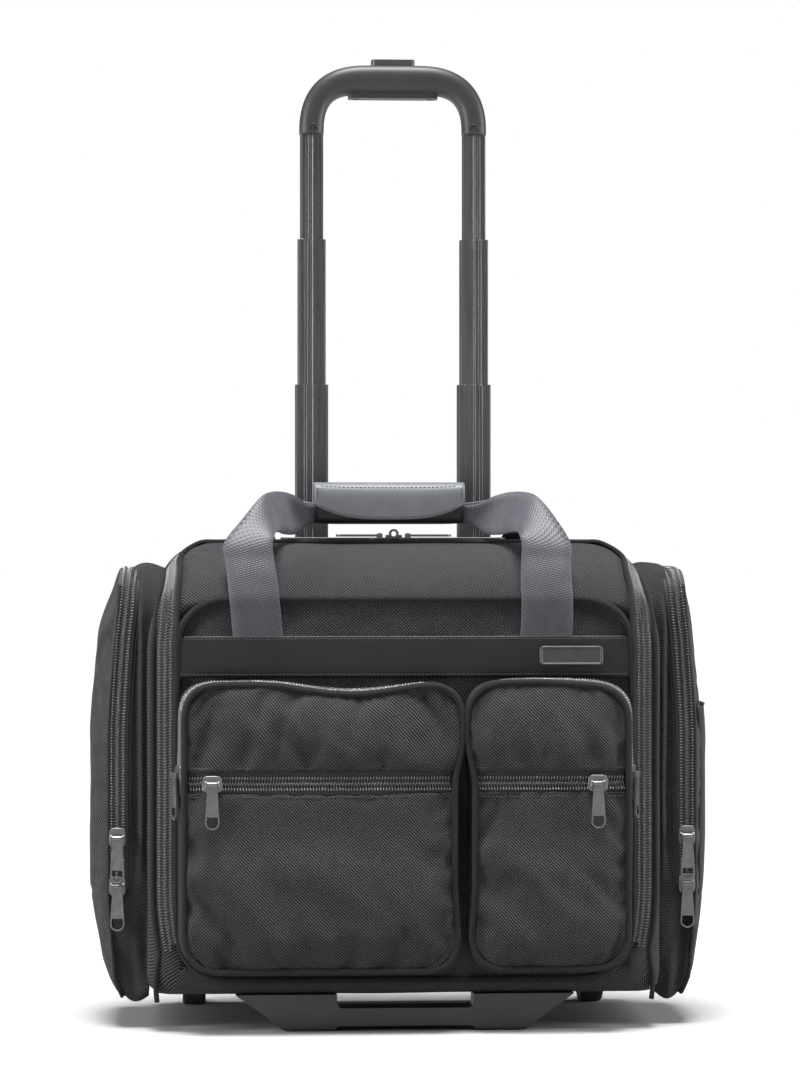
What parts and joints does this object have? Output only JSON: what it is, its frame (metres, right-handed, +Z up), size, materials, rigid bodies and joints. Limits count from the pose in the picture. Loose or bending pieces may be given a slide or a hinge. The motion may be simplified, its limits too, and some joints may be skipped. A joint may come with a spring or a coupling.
{
  "type": "rolling pilot case",
  "caption": "Soft-sided rolling pilot case with a pull-out handle, rear wheels, a front stand, zipped pockets, carrying straps and a front flap that folds down.",
  "frame": {"origin": "on the floor, under the middle of the overall box", "axes": "+Z up along the pull handle; the front, with its pockets, faces -Y; +X is the right side seen from the front"},
  "size_m": [0.475, 0.236, 0.761],
  "materials": {
    "ballistic_nylon": "coarse matte weave, charcoal",
    "lining": "smooth grey lining",
    "webbing": "ribbed charcoal webbing",
    "leather": "smooth dark leather",
    "zip_chain": "nylon coil on woven tape",
    "gunmetal": "dark gunmetal plate",
    "tube_metal": "black anodised",
    "soft_grip": "grained soft-touch moulding",
    "button_plastic": "smooth black",
    "black_plastic": "black moulding",
    "hub_plastic": "dark grey moulding",
    "tyre": "black polyurethane",
    "steel": "plain steel"
  },
  "bodies": {
    "case": {"rear_shell": "ballistic_nylon", "back_panel": "ballistic_nylon", "base_board": "black_plastic", "lining_panel": "lining", "side_pocket_left": "ballistic_nylon", "side_pocket_right": "ballistic_nylon", "side_zips": "zip_chain", "slip_pocket": "ballistic_nylon", "outer_tubes": "tube_metal", "trolley_bezel": "black_plastic", "tube_bracket": "black_plastic", "wheel_housing_left": "black_plastic", "wheel_housing_right": "black_plastic", "front_stand": "black_plastic", "base_screws": "steel", "rear_strap": "webbing", "main_zip_rear": "zip_chain", "wheel_axles": "steel"},
    "wheel_left": {"tyre_left": "tyre", "hub_left": "hub_plastic"},
    "wheel_right": {"tyre_right": "tyre", "hub_right": "hub_plastic"},
    "handle_lower": {"lower_tubes": "tube_metal"},
    "handle_middle": {"middle_tubes": "tube_metal"},
    "handle_upper": {"upper_tubes": "tube_metal", "lock_pins": "black_plastic", "grip": "soft_grip", "grip_cover": "black_plastic"},
    "grip_button": {"grip_button": "button_plastic"},
    "front_flap": {"front_panel": "ballistic_nylon", "front_shell": "ballistic_nylon", "main_zip_front": "zip_chain", "leather_band": "leather", "badge": "gunmetal", "pocket_left": "ballistic_nylon", "pocket_right": "ballistic_nylon", "pocket_zips": "zip_chain", "face_zips": "zip_chain", "front_strap": "webbing", "handle_wrap": "leather"},
    "slider_main_left": {"slider_main_left": "gunmetal"},
    "pull_main_left": {"pull_main_left": "gunmetal"},
    "slider_main_right": {"slider_main_right": "gunmetal"},
    "pull_main_right": {"pull_main_right": "gunmetal"},
    "slider_side_left_upper": {"slider_side_left_upper": "gunmetal"},
    "pull_side_left_upper": {"pull_side_left_upper": "gunmetal"},
    "slider_side_left_lower": {"slider_side_left_lower": "gunmetal"},
    "pull_side_left_lower": {"pull_side_left_lower": "gunmetal"},
    "slider_side_right_upper": {"slider_side_right_upper": "gunmetal"},
    "pull_side_right_upper": {"pull_side_right_upper": "gunmetal"},
    "slider_side_right_lower": {"slider_side_right_lower": "gunmetal"},
    "pull_side_right_lower": {"pull_side_right_lower": "gunmetal"},
    "slider_face_left": {"slider_face_left": "gunmetal"},
    "pull_face_left": {"pull_face_left": "gunmetal"},
    "slider_face_right": {"slider_face_right": "gunmetal"},
    "pull_face_right": {"pull_face_right": "gunmetal"},
    "slider_pocket_left": {"slider_pocket_left": "gunmetal"},
    "pull_pocket_left": {"pull_pocket_left": "gunmetal"},
    "slider_pocket_right": {"slider_pocket_right": "gunmetal"},
    "pull_pocket_right": {"pull_pocket_right": "gunmetal"}
  },
  "joints": [
    {"name": "wheel_left_spin", "type": "hinge", "parent": "case", "child": "wheel_left", "pos_m": [-0.16, 0.09, 0.028], "axis": [1, 0, 0], "continuous": true},
    {"name": "wheel_right_spin", "type": "hinge", "parent": "case", "child": "wheel_right", "pos_m": [0.16, 0.09, 0.028], "axis": [1, 0, 0], "continuous": true},
    {"name": "handle_lower_slide", "type": "slide", "parent": "case", "child": "handle_lower", "axis": [0, 0, 1], "range_m": [-0.124, 0]},
    {"name": "handle_middle_slide", "type": "slide", "parent": "handle_lower", "child": "handle_middle", "axis": [0, 0, 1], "range_m": [-0.114, 0]},
    {"name": "handle_upper_slide", "type": "slide", "parent": "handle_middle", "child": "handle_upper", "axis": [0, 0, 1], "range_m": [-0.082, 0]},
    {"name": "grip_button_press", "type": "slide", "parent": "handle_upper", "child": "grip_button", "axis": [0, 0, 1], "range_m": [-0.003, 0], "stiffness_N_per_m": 800, "springref_m": 0.002},
    {"name": "front_flap_hinge", "type": "hinge", "parent": "case", "child": "front_flap", "pos_m": [0, -0.086, 0.036], "axis": [1, 0, 0], "range_deg": [0, 90]},
    {"name": "slider_main_left_slide", "type": "slide", "parent": "front_flap", "child": "slider_main_left", "axis": [-1, 0, 0], "range_m": [0, 0.105]},
    {"name": "pull_main_left_hinge", "type": "hinge", "parent": "slider_main_left", "child": "pull_main_left", "pos_m": [-0.016, -0.016, 0.3772], "axis": [0, 1, 0], "range_deg": [0, 7]},
    {"name": "slider_main_right_slide", "type": "slide", "parent": "front_flap", "child": "slider_main_right", "axis": [1, 0, 0], "range_m": [0, 0.115]},
    {"name": "pull_main_right_hinge", "type": "hinge", "parent": "slider_main_right", "child": "pull_main_right", "pos_m": [0.006, -0.016, 0.3772], "axis": [0, -1, 0], "range_deg": [0, 7]},
    {"name": "slider_side_left_upper_slide", "type": "slide", "parent": "case", "child": "slider_side_left_upper", "axis": [0, 0, 1], "range_m": [0, 0.15]},
    {"name": "pull_side_left_upper_hinge", "type": "hinge", "parent": "slider_side_left_upper", "child": "pull_side_left_upper", "pos_m": [-0.219, -0.0654, 0.146], "axis": [-1, 0, 0], "range_deg": [0, 120]},
    {"name": "slider_side_left_lower_slide", "type": "slide", "parent": "case", "child": "slider_side_left_lower", "axis": [0, 0, -1], "range_m": [0, 0.008]},
    {"name": "pull_side_left_lower_hinge", "type": "hinge", "parent": "slider_side_left_lower", "child": "pull_side_left_lower", "pos_m": [-0.219, -0.0622, 0.109], "axis": [-1, 0, 0], "range_deg": [0, 90]},
    {"name": "slider_side_right_upper_slide", "type": "slide", "parent": "case", "child": "slider_side_right_upper", "axis": [0, 0, 1], "range_m": [0, 0.15]},
    {"name": "pull_side_right_upper_hinge", "type": "hinge", "parent": "slider_side_right_upper", "child": "pull_side_right_upper", "pos_m": [0.219, -0.0654, 0.146], "axis": [-1, 0, 0], "range_deg": [0, 120]},
    {"name": "slider_side_right_lower_slide", "type": "slide", "parent": "case", "child": "slider_side_right_lower", "axis": [0, 0, -1], "range_m": [0, 0.008]},
    {"name": "pull_side_right_lower_hinge", "type": "hinge", "parent": "slider_side_right_lower", "child": "pull_side_right_lower", "pos_m": [0.219, -0.0622, 0.109], "axis": [-1, 0, 0], "range_deg": [0, 90]},
    {"name": "slider_face_left_slide", "type": "slide", "parent": "front_flap", "child": "slider_face_left", "axis": [1, 0, 0], "range_m": [0, 0.165]},
    {"name": "pull_face_left_hinge", "type": "hinge", "parent": "slider_face_left", "child": "pull_face_left", "pos_m": [-0.147, -0.1161, 0.19], "axis": [-1, 0, 0], "range_deg": [0, 120]},
    {"name": "slider_face_right_slide", "type": "slide", "parent": "front_flap", "child": "slider_face_right", "axis": [-1, 0, 0], "range_m": [0, 0.075]},
    {"name": "pull_face_right_hinge", "type": "hinge", "parent": "slider_face_right", "child": "pull_face_right", "pos_m": [0.144, -0.1161, 0.19], "axis": [-1, 0, 0], "range_deg": [0, 120]},
    {"name": "slider_pocket_left_slide", "type": "slide", "parent": "front_flap", "child": "slider_pocket_left", "axis": [0, 0, 1], "range_m": [0, 0.025]},
    {"name": "pull_pocket_left_hinge", "type": "hinge", "parent": "slider_pocket_left", "child": "pull_pocket_left", "pos_m": [-0.17528, -0.09838, 0.196], "axis": [-0.3445, 0.9388, 0], "range_deg": [0, 120]},
    {"name": "slider_pocket_right_slide", "type": "slide", "parent": "front_flap", "child": "slider_pocket_right", "axis": [0, 0, 1], "range_m": [0, 0.025]},
    {"name": "pull_pocket_right_hinge", "type": "hinge", "parent": "slider_pocket_right", "child": "pull_pocket_right", "pos_m": [0.17528, -0.09838, 0.196], "axis": [-0.3445, -0.9388, 0], "range_deg": [0, 120]}
  ]
}
